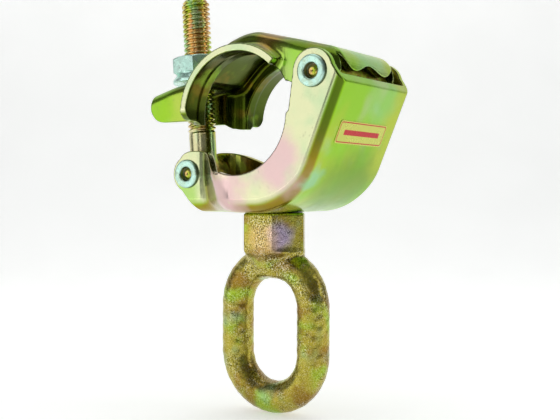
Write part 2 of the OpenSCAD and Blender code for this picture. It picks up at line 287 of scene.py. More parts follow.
class Shader:
    """A material's node tree, built line by line."""

    def __init__(self, name):
        self.material = bpy.data.materials.new(name)
        self.material.use_nodes = True
        self.tree = self.material.node_tree
        self.bsdf = self.tree.nodes["Principled BSDF"]
        coords = self.node("ShaderNodeTexCoord")
        self.mm = self.node("ShaderNodeVectorMath", operation="SCALE")
        self.join(coords.outputs["Object"], self.mm.inputs[0])
        self.mm.inputs["Scale"].default_value = 1 / MM
        self.where = self.mm.outputs["Vector"]
        self.facing = coords.outputs["Normal"]

    def node(self, kind, **settings):
        made = self.tree.nodes.new(kind)
        for key, value in settings.items():
            setattr(made, key, value)
        return made

    def join(self, out, into):
        self.tree.links.new(out, into)

    def noise(self, size, detail=2.0, rough=0.5, stretch=None, shift=0.0):
        """Cloudy noise with patches about this many mm across."""
        where = self.where
        if stretch:
            place = self.node("ShaderNodeMapping")
            place.inputs["Scale"].default_value = stretch
            place.inputs["Location"].default_value = (shift, shift, shift)
            self.join(where, place.inputs["Vector"])
            where = place.outputs["Vector"]
        made = self.node("ShaderNodeTexNoise")
        made.inputs["Scale"].default_value = 1 / size
        made.inputs["Detail"].default_value = detail
        made.inputs["Roughness"].default_value = rough
        self.join(where, made.inputs["Vector"])
        return made.outputs["Fac"]

    def spots(self, size, width=0.1):
        """Small round spots, 1 at their middles."""
        made = self.node("ShaderNodeTexVoronoi")
        made.inputs["Scale"].default_value = 1 / size
        self.join(self.where, made.inputs["Vector"])
        return self.band(made.outputs["Distance"], width, 0.0)

    def near(self, place, inner, outer, strength=1.0, ragged=0.0):
        """1 inside a ball of radius inner around a place in mm, fading out at outer."""
        made = self.node("ShaderNodeVectorMath", operation="DISTANCE")
        self.join(self.where, made.inputs[0])
        made.inputs[1].default_value = place
        away = made.outputs["Value"]
        if ragged:
            wander = self.band(self.noise(9, 2.0, shift=11), 0.2, 0.8, -ragged, ragged)
            away = self.math("ADD", away, wander)
        return self.band(away, outer, inner, 0.0, strength)

    def band(self, value, low, high, out_low=0.0, out_high=1.0):
        """Goes smoothly from out_low to out_high while the value goes from low to high."""
        made = self.node("ShaderNodeMapRange")
        made.interpolation_type = "SMOOTHSTEP"
        for key, v in (("From Min", low), ("From Max", high),
                       ("To Min", out_low), ("To Max", out_high)):
            made.inputs[key].default_value = v
        self.join(value, made.inputs["Value"])
        return made.outputs["Result"]

    def math(self, operation, a, b):
        made = self.node("ShaderNodeMath", operation=operation)
        for socket, v in zip(made.inputs, (a, b)):
            if isinstance(v, (int, float)):
                socket.default_value = v
            else:
                self.join(v, socket)
        return made.outputs[0]

    def axis(self, vector, letter):
        made = self.node("ShaderNodeSeparateXYZ")
        self.join(vector, made.inputs[0])
        return made.outputs[letter]

    def mix(self, factor, a, b, blend="MIX"):
        made = self.node("ShaderNodeMix", data_type="RGBA", blend_type=blend)
        for socket, v in ((made.inputs[0], factor), (made.inputs[6], a), (made.inputs[7], b)):
            if isinstance(v, (int, float)):
                socket.default_value = v
            elif hasattr(v, "is_output"):
                self.join(v, socket)
            else:
                socket.default_value = (*v, 1.0)
        return made.outputs[2]

    def bump(self, height, depth, after=None):
        """Adds fine relief; depth in mm."""
        made = self.node("ShaderNodeBump")
        made.inputs["Strength"].default_value = 1.0
        made.inputs["Distance"].default_value = depth * MM
        self.join(height, made.inputs["Height"])
        if after is not None:
            self.join(after, made.inputs["Normal"])
        return made.outputs["Normal"]

    def done(self, colour, roughness, normal=None, metal=1.0):
        """Joins everything to the surface and hands the material over."""
        self.join(colour, self.bsdf.inputs["Base Color"])
        if isinstance(roughness, (int, float)):
            self.bsdf.inputs["Roughness"].default_value = roughness
        else:
            self.join(roughness, self.bsdf.inputs["Roughness"])
        self.bsdf.inputs["Metallic"].default_value = metal
        if normal is not None:
            self.join(normal, self.bsdf.inputs["Normal"])
        return self.material


def worn(s, colour, bare, amount=0.5):
    """Rubbed edges: the chromate is paler where an edge stands out."""
    geometry = s.node("ShaderNodeNewGeometry")
    edge = s.band(geometry.outputs["Pointiness"], 0.52, 0.60, 0.0, amount)
    rubbed = s.math("MULTIPLY", edge, s.band(s.noise(2.0, 3.0), 0.35, 0.6))
    return s.mix(rubbed, colour, bare)


def pressed_chromate(name, f, wall_sheen_share, inner, inner_shade_share, blooms):
    """Yellow chromate on pressed sheet, green-gold on the plates; the walls' light cream is painted
    reflection, and the dark folds and inner side are painted shade.
    """
    s = Shader(name)
    wall_from, wall_full = 26.6, 27.4       # mm out from the middle, where the flat walls begin
    colour = s.mix(s.band(s.noise(30, 2.0), 0.38, 0.62), f.gold, f.lime)
    green = s.noise(16, 2.0, stretch=(1, 1, 1.3), shift=90)
    colour = s.mix(s.band(green, 0.56, 0.74, 0, 0.30), colour, f.mint)
    colour = s.mix(s.band(s.noise(26, 2.0, shift=20), 0.56, 0.74, 0, 0.25), colour, f.blush)
    # Faces turned sideways, on the walls, are mixed towards cream and mint: a painted reflection of the
    # bright surroundings.
    across = s.math("ABSOLUTE", s.axis(s.facing, "Y"), 0)
    rim = s.band(s.math("ABSOLUTE", s.axis(s.where, "Y"), 0), wall_from, wall_full, wall_sheen_share, 1.0)
    wall_sheen_mask = s.math("MULTIPLY", s.band(across, 0.86, 0.995), rim)
    wall_sheen = s.mix(s.band(s.noise(15, 2.0, shift=60), 0.48, 0.70, 0, 0.35), f.cream, f.mint)
    colour = s.mix(wall_sheen_mask, colour, wall_sheen)
    # Faces in the folds between plate and walls are darkened to green-brown, and to orange-brown lower
    # down: painted shade and dark reflection in the folds.
    fold_shade_mask = s.math("MULTIPLY", s.band(across, 0.10, 0.45), s.band(across, 0.99, 0.80, 0, 0.8))
    fold_shade = s.mix(s.band(s.axis(s.where, "Z"), -8, -22), f.shade, f.amber)
    colour = s.mix(fold_shade_mask, colour, fold_shade)
    for shade, place, inner_r, outer_r, strength in blooms:
        colour = s.mix(s.near(place, inner_r, outer_r, strength, 3.0), colour, getattr(f, shade))
    scuffs = s.math("MULTIPLY", s.band(s.noise(0.9, 4.0), 0.60, 0.72),
                    s.band(s.noise(11, 1.0), 0.5, 0.66))
    colour = s.mix(s.math("MULTIPLY", scuffs, 0.35), colour, (0.20, 0.20, 0.13))
    colour = s.mix(s.math("MULTIPLY", s.spots(3.4, 0.09), 0.25), colour, (0.85, 0.86, 0.70))
    colour = worn(s, colour, f.cream)
    # Faces turned in towards the middle take a darker inner colour: painted shade on the inner side of
    # the sheet.
    outward = s.node("ShaderNodeVectorMath", operation="DOT_PRODUCT")
    s.join(s.facing, outward.inputs[0])
    s.join(s.where, outward.inputs[1])
    inside = s.band(outward.outputs["Value"], -2.0, -9.0, 0.0, inner_shade_share)
    inner_shade = s.mix(s.band(s.noise(14, 3.0, shift=10), 0.50, 0.70, 0, 0.5), inner, f.amber)
    inner_shade = s.mix(s.band(s.noise(12, 2.0, shift=33), 0.54, 0.70, 0, 0.5), inner_shade, f.lime)
    inner_shade = s.mix(s.band(s.noise(1.4, 4.0), 0.56, 0.74, 0, 0.3), inner_shade, (0.02, 0.02, 0.005))
    colour = s.mix(inside, colour, inner_shade)
    rough = s.band(s.noise(5, 4.0), 0.3, 0.7, 0.15, 0.25)
    relief = s.bump(s.noise(12, 2.0), 0.07)
    relief = s.bump(s.noise(0.5, 3.0, 0.6, stretch=(1, 1, 0.25)), 0.003, relief)
    return s.done(colour, rough, relief)


def zinc_steel(name, f):
    """Bare blue-white zinc with fine turning marks."""
    s = Shader(name)
    colour = s.mix(s.band(s.noise(4, 3.0), 0.35, 0.75, 0, 0.6), f.zinc, (0.50, 0.62, 0.56))
    colour = s.mix(s.band(s.noise(1.2, 4.0), 0.58, 0.75, 0, 0.5), colour, (0.10, 0.12, 0.10))
    rough = s.band(s.noise(2, 4.0), 0.3, 0.7, 0.22, 0.40)
    relief = s.bump(s.noise(0.7, 3.0), 0.02)
    return s.done(worn(s, colour, (0.9, 0.95, 0.92)), rough, relief)


def rivet_steel(name, f):
    """Zinc rivet whose recess holds gold chromate."""
    s = Shader(name)
    recess, head = 2.9, 6.2
    zinc = s.mix(s.band(s.noise(2.5, 3.0), 0.40, 0.70, 0, 0.5), f.zinc, (0.45, 0.52, 0.30))
    x, z = s.axis(s.where, "X"), s.axis(s.where, "Z")
    far = None
    for pin_x, pin_z in (HINGE, BOLT_PIN):
        dx, dz = s.math("SUBTRACT", x, pin_x), s.math("SUBTRACT", z, pin_z)
        away = s.math("SQRT", s.math("ADD", s.math("MULTIPLY", dx, dx), s.math("MULTIPLY", dz, dz)), 0)
        far = away if far is None else s.math("MINIMUM", far, away)
    gold = s.mix(s.band(s.noise(2, 2.0), 0.4, 0.6), f.gold, f.thread)
    colour = s.mix(s.band(far, recess, recess - 0.4), zinc, gold)
    # A dark ring round the recess's edge and another at the head's rim: painted shade in the recess and
    # painted shadow at the head's outer edge.
    rim = s.math("MULTIPLY", s.band(far, recess - 0.9, recess - 0.4),
                 s.band(far, recess + 0.4, recess))
    edge = s.math("MAXIMUM", rim, s.band(far, head - 0.4, head))
    colour = s.mix(s.math("MULTIPLY", edge, 0.8), colour, (0.05, 0.06, 0.04))
    colour = s.mix(s.band(s.noise(1.0, 4.0), 0.60, 0.75, 0, 0.5), colour, (0.12, 0.13, 0.10))
    rough = s.band(s.noise(1.5, 4.0), 0.3, 0.7, 0.22, 0.40)
    return s.done(colour, rough, s.bump(s.noise(0.8, 3.0), 0.03))


def bolt_chromate(name, f):
    """Gold chromate on the bolt, running from orange through gold to green round it."""
    s = Shader(name)
    colour = s.mix(s.band(s.noise(9, 1.0, stretch=(1, 1, 0.3)), 0.42, 0.58), f.thread, f.gold)
    orange = s.noise(5, 1.0, stretch=(1.4, 1.4, 0.25), shift=30)
    colour = s.mix(s.band(orange, 0.52, 0.66, 0, 0.5), colour, f.amber)
    green = s.noise(6, 1.0, stretch=(1.2, 1.2, 0.5), shift=70)
    colour = s.mix(s.band(green, 0.56, 0.68, 0, 0.6), colour, f.mint)
    colour = s.mix(s.band(s.noise(3, 2.0, shift=50), 0.58, 0.70, 0, 0.45), colour, f.blush)
    # A cream patch on the front of the shank is a painted highlight.
    colour = s.mix(s.near((-39.5, -4, -9), 4, 9, 0.75), colour, f.cream)
    rough = s.band(s.noise(2, 3.0), 0.3, 0.7, 0.16, 0.28)
    return s.done(worn(s, colour, (0.92, 0.86, 0.62), 0.5), rough, s.bump(s.noise(0.6, 3.0), 0.01))


def forged_chromate(name, f):
    """Fine-grained forged skin under gold, green and brown chromate, with a lilac bloom on the neck."""
    s = Shader(name)
    colour = s.mix(s.band(s.noise(14, 2.0), 0.48, 0.66, 0, 0.6), f.forged, f.lime)
    colour = s.mix(s.band(s.noise(13, 2.0, shift=30), 0.46, 0.64, 0, 0.8), colour, f.amber)
    colour = s.mix(s.band(s.noise(16, 2.0, shift=75), 0.56, 0.72, 0, 0.5), colour, f.mint)
    colour = s.mix(s.near((9.5, -9.5, -49), 2, 8, 0.9, 1.5), colour, f.plum)
    colour = s.mix(s.near((2, -13, -50), 3, 9, 0.6, 2.0), colour, f.thread)
    grain = s.noise(0.5, 2.0, 0.7)
    zones = s.band(s.noise(10, 2.0, shift=45), 0.40, 0.62, 0.30, 0.95)
    dark = s.math("MULTIPLY", s.band(grain, 0.50, 0.60), zones)
    colour = s.mix(dark, colour, (0.035, 0.035, 0.015))
    light = s.math("MULTIPLY", s.band(grain, 0.46, 0.36), s.math("MULTIPLY", zones, 0.6))
    colour = s.mix(light, colour, (0.92, 0.94, 0.84))
    rough = s.band(s.noise(1.6, 4.0), 0.3, 0.7, 0.20, 0.34)
    relief = s.bump(s.noise(4.0, 2.0), 0.10)
    relief = s.bump(s.noise(0.6, 3.0, 0.6), 0.08, relief)
    return s.done(colour, rough, relief)


def dull_chromate(name, f):
    """Dull brown-gold chromate on turned parts."""
    s = Shader(name)
    colour = s.mix(s.band(s.noise(3, 3.0), 0.35, 0.65), f.amber, f.gold)
    colour = s.mix(s.band(s.noise(0.9, 4.0), 0.56, 0.7, 0, 0.5), colour, (0.10, 0.07, 0.03))
    rough = s.band(s.noise(1.5, 3.0), 0.3, 0.7, 0.30, 0.45)
    return s.done(colour, rough, s.bump(s.noise(0.6, 3.0), 0.02))


# ---- pieces ------------------------------------------------------------------

def sizes():
    p = bpy.context.scene.clamp_sizes
    return {key: getattr(p, key) / MM for key in ClampSizes.__annotations__}


def finishes():
    return bpy.context.scene.clamp_finishes


class MaterialShelf:
    """Keeps each finish once, so that pieces share it."""
    made = {}

    @classmethod
    def get(cls, name, maker, *more):
        if name not in cls.made:
            cls.made[name] = maker(name, finishes(), *more)
        return cls.made[name]


# Places are (x, z) in mm in the solids' own frame, with the seat's middle at the origin.
BACK_LEAN = math.radians(22.8)          # the back plate leans out by this much
BACK_BEND = 30.0                        # outside radius of the bend below the back plate
HINGE = (36.4, 14.1)
BOLT_PIN = (-37.5, -23.1)
BACK_TOP = (48.9, 10.0)
BASE_Z = BODY_LOW[2]
HALF = BODY_HIGH[1]
BOLT_LEAN = math.radians(3.7)
LID_SHIFT = -1.0                        # the lid sits this far off the middle, along Y
LID_PITCH = math.radians(14.5)          # slope of the lid's ridge
TAIL_REACH = 18.4                       # from the bolt pin out to the tail's tip
LUG_HALF = 12.1                         # half the width over the lugs
NUT_SEAT = 40.3                         # the nut's underside, up the bolt from its pin
NUT_TURN = math.radians(55.6)           # how far the nut is turned round the bolt
LABEL_W, LABEL_H = 18.75, 4.7           # half sizes of the label
BEND_X = BACK_TOP[0] - (BACK_BEND + math.sin(BACK_LEAN) * (BACK_TOP[1] - BASE_Z - BACK_BEND)
                        ) / math.cos(BACK_LEAN)
BEND_Z = BASE_Z + BACK_BEND

VIEW_TURN = math.radians(33.59)         # the camera looks along +Y, turned this far about Z
VIEW_TILT = math.radians(0.87)          # and this far down
VIEW_AWAY, VIEW_ASIDE, VIEW_UP = 393.7, 2.21, -32.59     # mm back, right and up from the middle


def body_skin(x, z):
    """Flat underside, round bend and leaning back plate."""
    c, s = math.cos(BACK_LEAN), math.sin(BACK_LEAN)
    dx, dz = x - BEND_X, z - BEND_Z
    flats = np.maximum(BASE_Z - z, (x - BACK_TOP[0]) * c - (z - BACK_TOP[1]) * s)
    return np.where((dx > 0) & (dx * s + dz * c < 0), np.sqrt(dx ** 2 + dz ** 2) - BACK_BEND, flats)


def body_field(m):
    """The body: sheet folded up from the underside, narrow at the lugs and wide at the ears."""
    lug_r, ear_r = 7.8, 8.8
    seat = m["seat_r"]
    hx, hz = HINGE
    bx, bz = BOLT_PIN
    plans = []
    for slip in (0, 7):
        line = eased([(-90, LUG_HALF), (bx + 10.1 + slip / 3, LUG_HALF),
                      (bx + 26.6 + slip, HALF), (90, HALF)], 5.0)
        plans.append(outline(line + [(x, -y) for x, y in reversed(line)]))
    top = bz + lug_r + 2.0
    ear_out = (hx + ear_r * math.cos(math.radians(50)), hz + ear_r * math.sin(math.radians(50)))
    wide = bx + 26.6
    lug_line = eased([
        (wide + 3.4, -seat + 4), (wide + 3.4, -seat + 0.8), (wide - 0.3, -seat + 1.1),
        (wide - 4.1, -seat + 3.9),
        (wide - 8.6, top - 3.9), (bx + 13.2, top - 1.3), (bx + 9.1, top - 0.3), (bx + 5, top),
        (bx + 0.5, top), (bx - 3, top - 1.4), (bx - 6.5, bz + 3.2)], 2.4)
    side = outline([
        (bx, bz), (bx - lug_r * math.cos(math.radians(17)), bz - lug_r * math.sin(math.radians(17))),
        (bx + 3.7, BASE_Z + 1.2), (bx + 5.2, BASE_Z - 0.5), (80, BASE_Z - 0.5), (80, BACK_TOP[1]),
        BACK_TOP, ear_out, (hx, hz), (hx - ear_r, hz), (seat + 1.2, 0), (seat, -1),
        (0, -seat + 1)] + lug_line)
    t = m["sheet"]
    shank_hole = 7.05

    def field(x, y, z):
        low = np.clip((BEND_Z - 14 - z) / 12, 0, 1)
        slant = np.clip((-24 - z) / 15, 0, 1)
        plan = plans[0](x, y) * (1 - slant) + plans[1](x, y) * slant
        outer = fold(body_skin(x, z), plan, m["body_fold"] + 1.4 * low * low * (3 - 2 * low))
        shell = np.maximum(outer, -outer - t)
        cut = np.minimum(side(x, z), np.minimum(np.hypot(x - hx, z - hz) - ear_r,
                                                np.hypot(x - bx, z - bz) - lug_r))
        cut = np.maximum(cut, seat - np.hypot(x, z))
        d = fold(shell, cut, m["cut_edge"])
        bores = np.minimum(np.hypot(x - hx, z - hz), np.hypot(x - bx, z - bz))
        d = fold(d, m["pin_r"] + 0.05 - bores, 0.2)
        return np.maximum(d, shank_hole - np.hypot(x, y) - 1e3 * (z > -20))
    return field


def lid_top():
    """The lid's upper outline from the tail's tip to the heel."""
    bx = BOLT_PIN[0]
    rise = math.tan(LID_PITCH)
    heel_r = 10.8
    heel = (HINGE[0] + heel_r * math.sin(LID_PITCH), HINGE[1] + heel_r * math.cos(LID_PITCH))

    def ridge(x):
        return heel[1] + (heel[0] - x) * rise
    return eased([
        (bx - TAIL_REACH, 12.0), (bx - 7.5, 15.0), (bx + 4.5, 16.85), (bx + 9.7, 17.2), (bx + 14, 22.0),
        (bx + 19.5, 27.2), (bx + 26, 31.3), (bx + 32.5, ridge(bx + 32.5) - 2.6),
        (bx + 36.5, ridge(bx + 36.5) - 1), (bx + 40, ridge(bx + 40)), heel], 2.6), heel


def lid_field(m):
    """The lid: a pressed cover and two saddle rims, less its hollow, slot, heel notch and pin bore."""
    seat, t = m["seat_r"], m["sheet"]
    ear_r, slot_r, rim_half = 8.6, 7.7, 28.2
    notch_half, valley_half = 21.3, 11.8
    hx, hz = HINGE
    bx = BOLT_PIN[0]
    curl = 9.2
    top, heel = lid_top()
    up = (math.sin(LID_PITCH), math.cos(LID_PITCH))
    mid = (heel[0] - curl * up[0], heel[1] - curl * up[1])
    cover = outline([(top[0][0] - 40, -60), (top[0][0] - 40, top[0][1] - 10.6)] + top
                    + arc(*mid, curl, 75.5, 0) + [(mid[0] + curl, -60)])
    tail_x = bx - TAIL_REACH
    side = outline([
        (hx + 2, hz), (hx, hz - ear_r), (22, 12), (20.4, 10), (-23.4, -2.6), (bx + 7, -2.6),
        (bx + 3.2, -0.7)] + eased([(bx + 3.2, -0.7), (tail_x + 4, -0.7), (tail_x + 0.2, 3.6),
                                   (tail_x, 7.5), (tail_x, 12.0)], 4)
        + [(tail_x, 60), (90, 60), (90, hz)])
    plan_line = eased([(-90, 14), (bx + 5, 14), (bx + 12, 18.4), (4, 19),
                       (seat - 2, 24.5), (90, 24.5)], 4)
    plan = outline(plan_line + [(x, -y) for x, y in reversed(plan_line)])
    rim_cut = outline([(-60, -1.5), (-seat * 0.9, -1.5), (-seat + 3, 0), (0, 0),
                       (90 * math.cos(math.radians(47)), 90 * math.sin(math.radians(47))), (-60, 90)])
    slot_end = bx + 5.6 - slot_r

    def field(x, y, z):
        y = y - LID_SHIFT
        radius = np.hypot(x, z)
        block = fold(cover(x, z), plan(x, y), m["lid_fold"])
        solid = fold(block, np.minimum(side(x, z), np.hypot(x - hx, z - hz) - ear_r), m["cut_edge"])
        rim = fold(radius - seat - t, np.abs(y) - rim_half, m["cut_edge"])
        rim = fold(rim, rim_cut(x, z), m["cut_edge"])
        rim = fold(rim, seat - radius, m["cut_edge"])
        rim = np.maximum(rim, fold(np.abs(y) - rim_half, -1.5 - z, 5.0))
        d = weld(solid, rim, 3.0)
        d = fold(d, -block - t, m["cut_edge"])
        d = fold(d, seat - radius, m["cut_edge"])
        slot = np.where(x > slot_end, np.hypot(x - slot_end, y), np.abs(y)) - slot_r
        d = fold(d, -slot, m["cut_edge"])
        edge = np.where(np.abs(y) < valley_half,
                        hz + 0.9 + 3 * np.cos(np.pi / 2 * y / valley_half) ** 2,
                        hz + 0.9 + 10 * ((np.abs(y) - valley_half) / 12) ** 2)
        notch = np.maximum(np.maximum(hx + 4 - x, np.abs(y) - notch_half), z - edge)
        d = fold(d, -notch, m["cut_edge"])
        return fold(d, m["pin_r"] + 0.05 - np.hypot(x - hx, z - hz), 0.2)
    return field


def rivet_profile(m, half):
    """Half of a rivet, from the middle of one head to the other."""
    r, rec, pin = m["head_r"], m["recess_r"], m["pin_r"]
    head = [(0.01, half + 0.1), (rec * 0.4, half + 0.05), (rec * 0.62, half - 0.2),
            (rec - 0.6, half - 0.9), (rec - 0.2, half - 0.9), (rec, half - 0.6)]
    head += arc(rec + 0.9, half + 0.5, 0.9, 180, 90, 6)
    head += arc(r - 1.05, half + 0.36, 1.04, 90, 0, 8)
    head += [(r, half + 0.1), (pin, half + 0.05)]
    return head + [(a, -b) for a, b in reversed(head)]


def along_y(points, x, z):
    """Points that were turned about Z, laid along Y through (x, z)."""
    return np.stack([points[:, 0] + x, points[:, 2], -points[:, 1] + z], 1)


def ring_profile(inner, outer, low, high, r=0.5):
    """A tube's section with rounded corners."""
    return (arc(outer - r, high - r, r, 90, 0, 4) + arc(outer - r, low + r, r, 0, -90, 4)
            + arc(inner + r, low + r, r, 270, 180, 4) + arc(inner + r, high - r, r, 180, 90, 4))


def leaning(points):
    """Points drawn upright on the bolt pin, leaned out with the bolt."""
    c, s = math.cos(BOLT_LEAN), math.sin(BOLT_LEAN)
    x, y, z = points.T
    return np.stack([BOLT_PIN[0] + x * c - z * s, y, BOLT_PIN[1] + x * s + z * c], 1)


def bolt_parts(m):
    """The bolt's eye and shank as one skin, and its rolled thread as a screw surface."""
    shank, r, start, tip = 5.9, m["thread_r"], 17.5, 77.3
    eye_r, eye_half = 8.0, 8.6
    flank, crest = 1.35, 0.17

    def field(x, y, z):
        eye = fold(np.hypot(x, z) - eye_r, np.abs(y) - eye_half, 0.8)
        rod = np.maximum(np.hypot(x, y) - shank, np.maximum(-z, z - start - 0.6))
        return fold(weld(eye, rod, 2.4), m["pin_r"] + 0.05 - np.hypot(x, z), 0.3)
    low, high = (-8.2, -8.8, -8.2), (8.2, 8.8, start + 1)
    eye = skin(field, low, high, GRID)
    turns = 96
    rows = np.arange(start - 0.4, tip - 0.25, 0.14)
    a = np.linspace(0, 2 * math.pi, turns, endpoint=False)
    phase = (rows[:, None] / m["thread_pitch"] - a[None, :] / (2 * math.pi)) % 1.0
    tooth = np.clip(np.abs(phase - 0.5) * 2 * flank - crest, 0, 1)
    tooth = tooth * tooth * (3 - 2 * tooth) * 0.35 + tooth * 0.65
    runout = np.clip((rows - start) / 3.0, 0, 1)[:, None]
    radius = shank + (r - m["thread_depth"] * tooth - shank) * runout
    chamfer = r - 0.2 - np.clip(rows - (tip - 1.9), 0, 2)[:, None] * 0.75
    radius = np.minimum(radius, chamfer)
    n = len(rows)
    pts = np.stack([radius * np.cos(a), radius * np.sin(a),
                    np.repeat(rows[:, None], turns, 1)], 2).reshape(-1, 3)
    faces = [(i * turns + k, i * turns + (k + 1) % turns,
              (i + 1) * turns + (k + 1) % turns, (i + 1) * turns + k)
             for i in range(n - 1) for k in range(turns)]
    caps = []
    for row, height in ((0, rows[0]), (n - 1, rows[-1])):
        last, before = row * turns, 1
        for shrink, lift in ((0.9, 0.12), (0.5, 0.2), (0.12, 0.14)):
            new = len(pts)
            rim = pts[last:last + turns].copy()
            rim[:, :2] *= shrink / before
            if row:
                rim[:, 2] = height + lift
            pts = np.concatenate([pts, rim])
            caps += [(last + k, last + (k + 1) % turns,
                      new + (k + 1) % turns, new + k)[::1 if row else -1] for k in range(turns)]
            last, before = new, shrink
        caps.append(tuple(range(last, last + turns))[::1 if row else -1])
    return eye, pts, faces + caps


def hexagon(x, y, flats):
    """Distance from a hexagonal bar with corners along X."""
    slopes = np.maximum(np.abs(x * 0.866 + y * 0.5), np.abs(x * 0.866 - y * 0.5))
    return np.maximum(np.abs(y), slopes) - flats / 2


def nut_field(m):
    """The nut: a chamfered hexagon over a round foot and a conical flange, bored for the bolt."""
    flats, high = m["nut_flats"], m["nut_h"]
    flange_r, flange_h = 11.6, 4.4
    c, s = math.cos(NUT_TURN), math.sin(NUT_TURN)

    def field(x, y, z):
        radius = np.hypot(x, y)
        body = np.maximum(hexagon(x * c + y * s, -x * s + y * c, flats), np.maximum(z - high, -z))
        body = fold(body, (radius - flats / 2 - 0.35) * 0.5 + (z - high) * 0.866, 0.4)
        cone = np.maximum(radius - flange_r, (radius - flange_r) * 0.80 + (z - 1.5) * 0.60)
        cone = fold(cone, -z, 0.5)
        groove = np.maximum(body, flange_h - z)
        core = np.maximum(radius - flats / 2 + 0.15, np.maximum(z - 6, -z))
        d = weld(np.minimum(groove, core), fold(cone, z - flange_h, 0.4), 0.35)
        bore = m["thread_r"] + 0.05 - radius
        return fold(d, np.maximum(bore, bore + 1.0 - (high - z)), 0.2)
    return field


def eye_field(m):
    """The load eye: an oval ring, hexagonal neck, shank through the body and peened head."""
    bar, hole_w, hole_h = m["bar_r"], 24.4, 43.6
    stem_r, peen_r, peen_h = 7.0, 10.0, 8.35
    middle = EYE_LOW[2] + 2 * bar + hole_h / 2
    straight = (hole_h - hole_w) / 2
    bend = hole_w / 2 + bar
    neck_low, neck_high = BASE_Z - 16.95, BASE_Z - 0.15

    def field(x, y, z):
        dz = z - middle
        centre = np.hypot(x, np.maximum(np.abs(dz) - straight, 0)) - bend
        lumps = 0.10 * (np.sin(x * 1.13 + z * 0.71) * np.sin(y * 1.31 - z * 0.93)
                        + np.sin(x * 0.53 - z * 1.17 + 2) * np.sin(y * 0.67 + x * 0.9 + 1))
        ring = np.hypot(centre, y) - bar + 0.08 + 0.7 * lumps
        neck = fold(hexagon(x, y, m["neck_flats"]), np.maximum(z - neck_high, neck_low - z), 1.3)
        taper = (z - (middle + hole_h / 2 + 3)) / 8
        root = fold(np.hypot(x, y) - (bar + (m["neck_flats"] / 2 - bar) * np.clip(taper, 0, 1)),
                    np.maximum(z - neck_low - 1, middle + hole_h / 2 + 1 - z), 1.5)
        d = weld(weld(ring, root, 3.0), neck, 2.2)
        stem = np.maximum(np.hypot(x, y) - stem_r, np.maximum(neck_high - 2 - z, z - EYE_HIGH[2] + 2))
        peen = fold(np.hypot(x, y) - peen_r, EYE_HIGH[2] - peen_h - z, 0.4)
        peen = fold(peen, z - EYE_HIGH[2] + (x * x + y * y) / 70, 2.0)
        return np.minimum(np.minimum(d, stem), peen)
    return field


# ---- operators ---------------------------------------------------------------

class ClampPiece(bpy.types.Operator):
    """What all the clamp's operators share"""
    bl_options = {"REGISTER", "UNDO"}


class BuildClampBody(ClampPiece):
    """Pressed body: underside, bent back plate, folded walls, lugs and ears"""
    bl_idname = "clamp.build_body"
    bl_label = "Clamp Body"

    def execute(self, context):
        m = sizes()
        points, faces, normals = skin(body_field(m), BODY_LOW, BODY_HIGH, GRID)
        # The darker green bloom low on the bend is painted shade.
        blooms = (("blush", (20, -29, -20), 4, 17, 0.9), ("blush", (-5, -29, -31), 4, 15, 0.9),
                  ("mint", (33, -22, -27), 1, 6, 0.8), ("mint", (46, 8, 4), 4, 16, 0.25),
                  ("lower_bend_shade", (34, 6, -38), 12, 34, 0.75), ("lime", (-37, -12, -33), 3, 10, 0.6))
        chromate = MaterialShelf.get("pressed_chromate", pressed_chromate, 0.95,
                                     finishes().inner_gold_shade, 0.75, blooms)
        piece("pressed_body", points, faces, chromate,
              "clamp", ["clamp_body"], normals)
        return {"FINISHED"}


class BuildLid(ClampPiece):
    """Pressed lid: saddle rims, rib, slotted tail, ears and notched heel"""
    bl_idname = "clamp.build_lid"
    bl_label = "Clamp Lid"

    def execute(self, context):
        m = sizes()
        points, faces, normals = skin(lid_field(m), LID_LOW, LID_HIGH, GRID)
        blooms = (("amber", (14, -17, 28), 3, 12, 0.8), ("amber", (32, -22, 24), 1, 6, 0.7),
                  ("mint", (42, 0, 24), 6, 16, 0.5), ("lime", (-50, -14, 5), 4, 16, 0.8))
        chromate = MaterialShelf.get("lid_chromate", pressed_chromate, 0.15,
                                     finishes().inner_olive_shade, 0.93, blooms)
        piece("pressed_lid", points, faces, chromate,
              "lid", ["clamp_lid"], normals)
        return {"FINISHED"}


class BuildRivets(ClampPiece):
    """Both rivets with rolled heads"""
    bl_idname = "clamp.build_rivets"
    bl_label = "Rivets"

    def execute(self, context):
        m = sizes()
        steel = MaterialShelf.get("rivet_steel", rivet_steel)
        for name, node, half, (x, z) in (("hinge_rivet_rolled", "hinge_rivet", HALF, HINGE),
                                         ("bolt_rivet_rolled", "bolt_rivet", LUG_HALF, BOLT_PIN)):
            points, faces = turned(rivet_profile(m, half))
            piece(name, along_y(points, x, z), faces, steel, "clamp", [node])
        return {"FINISHED"}


class BuildSpacer(ClampPiece):
    """Spacer tube on the hinge rivet"""
    bl_idname = "clamp.build_spacer"
    bl_label = "Hinge Spacer"

    def execute(self, context):
        m = sizes()
        points, faces = turned(ring_profile(m["pin_r"] + 0.05, 6.0, SPACER_LOW[1], SPACER_HIGH[1], 0.3))
        piece("hinge_spacer_tube", along_y(points, *HINGE), faces,
              MaterialShelf.get("spacer_chromate", dull_chromate),
              "clamp", ["hinge_spacer"])
        return {"FINISHED"}


class BuildBolt(ClampPiece):
    """Swing bolt with eye, shank and rolled thread"""
    bl_idname = "clamp.build_bolt"
    bl_label = "Swing Bolt"

    def execute(self, context):
        (eye, eye_faces, _), thread, thread_faces = bolt_parts(sizes())
        points = np.concatenate([eye, thread])
        faces = eye_faces.tolist() + [tuple(i + len(eye) for i in f) for f in thread_faces]
        piece("swing_bolt_threaded", leaning(points), faces,
              MaterialShelf.get("bolt_chromate", bolt_chromate),
              "bolt", ["swing_bolt"])
        return {"FINISHED"}


